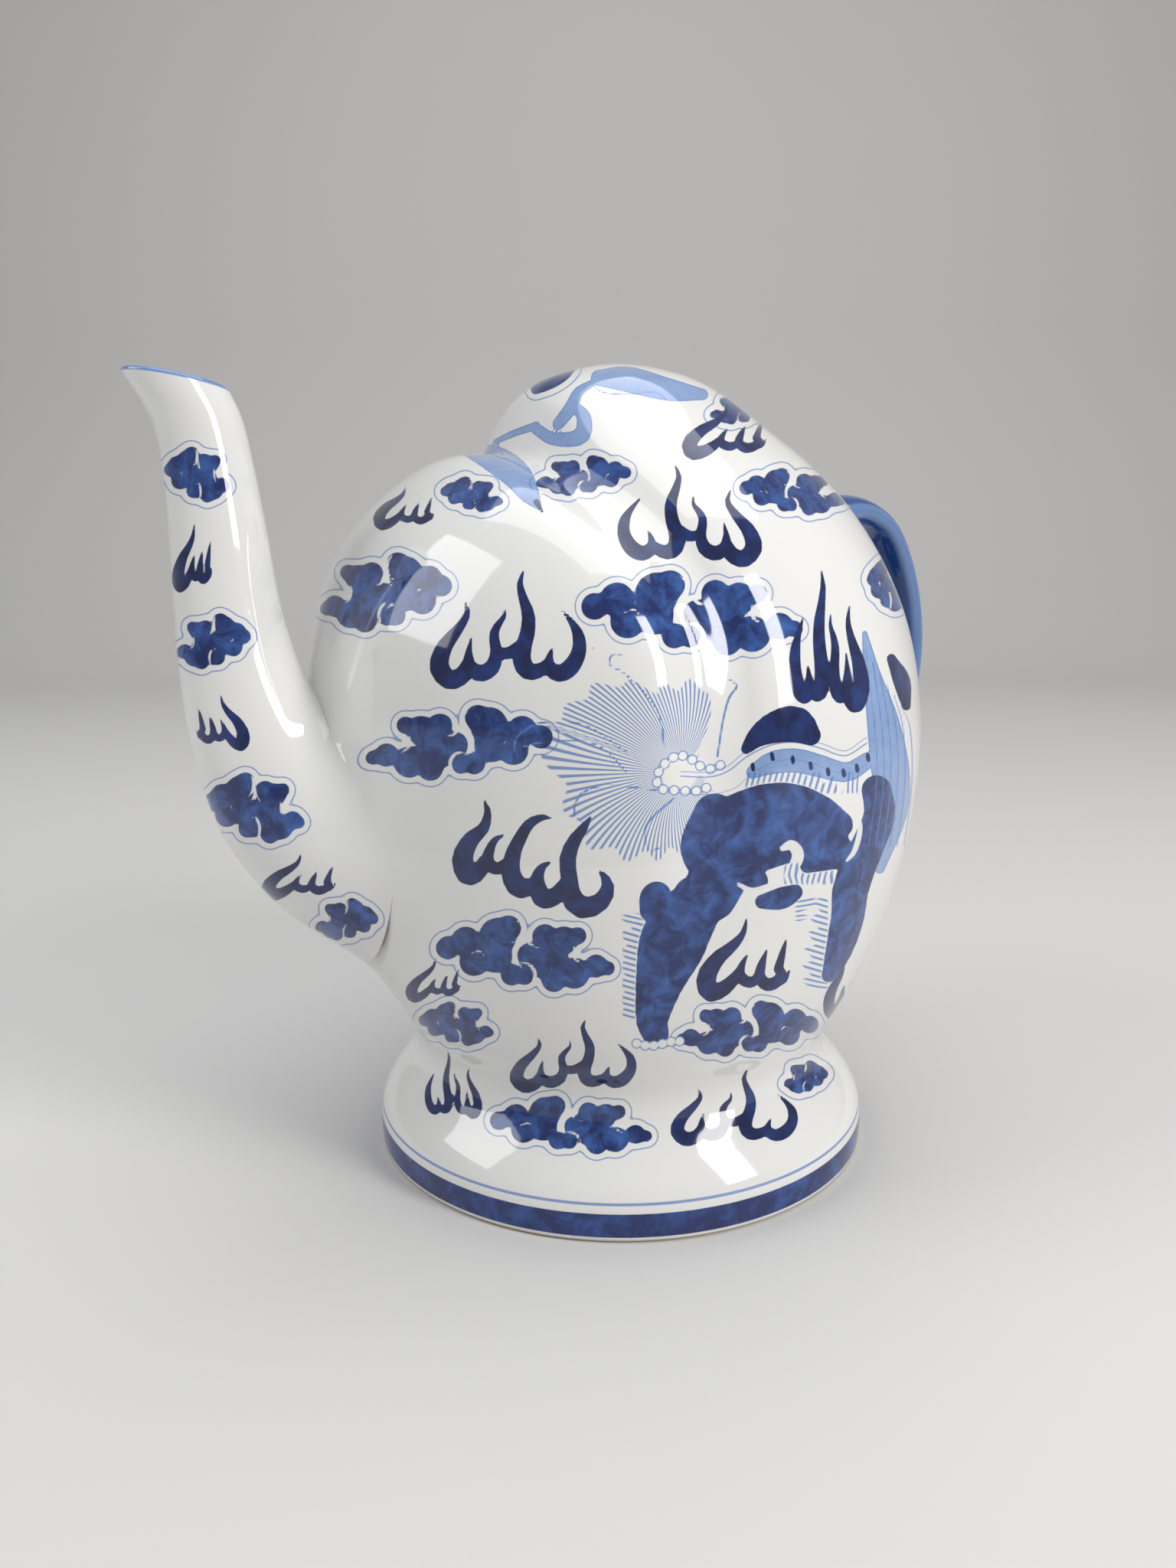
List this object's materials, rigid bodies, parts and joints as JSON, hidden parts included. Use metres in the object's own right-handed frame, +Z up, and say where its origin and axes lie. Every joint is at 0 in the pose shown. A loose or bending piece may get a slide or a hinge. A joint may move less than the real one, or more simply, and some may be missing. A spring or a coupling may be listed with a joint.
{
  "type": "cadogan teapot",
  "caption": "Lidless blue and white porcelain teapot shaped as a cleft peach, with a curved spout, a strap handle and a flared foot, filled through a tube in its base.",
  "frame": {"origin": "On the table under the middle of the pot's overall box", "axes": "+X towards the handle, with the spout towards -X; +Z up from the foot"},
  "size_m": [0.2132, 0.154, 0.1994],
  "materials": {
    "glaze": "gloss",
    "cobalt": "gloss",
    "biscuit": "matt"
  },
  "bodies": {
    "root": {"body_front_half": "glaze", "body_back_half": "glaze", "spout_front_half": "glaze", "spout_back_half": "glaze", "handle": "cobalt", "foot_ring": "glaze", "floor_plate": "biscuit", "filling_tube": "biscuit"}
  },
  "joints": []
}
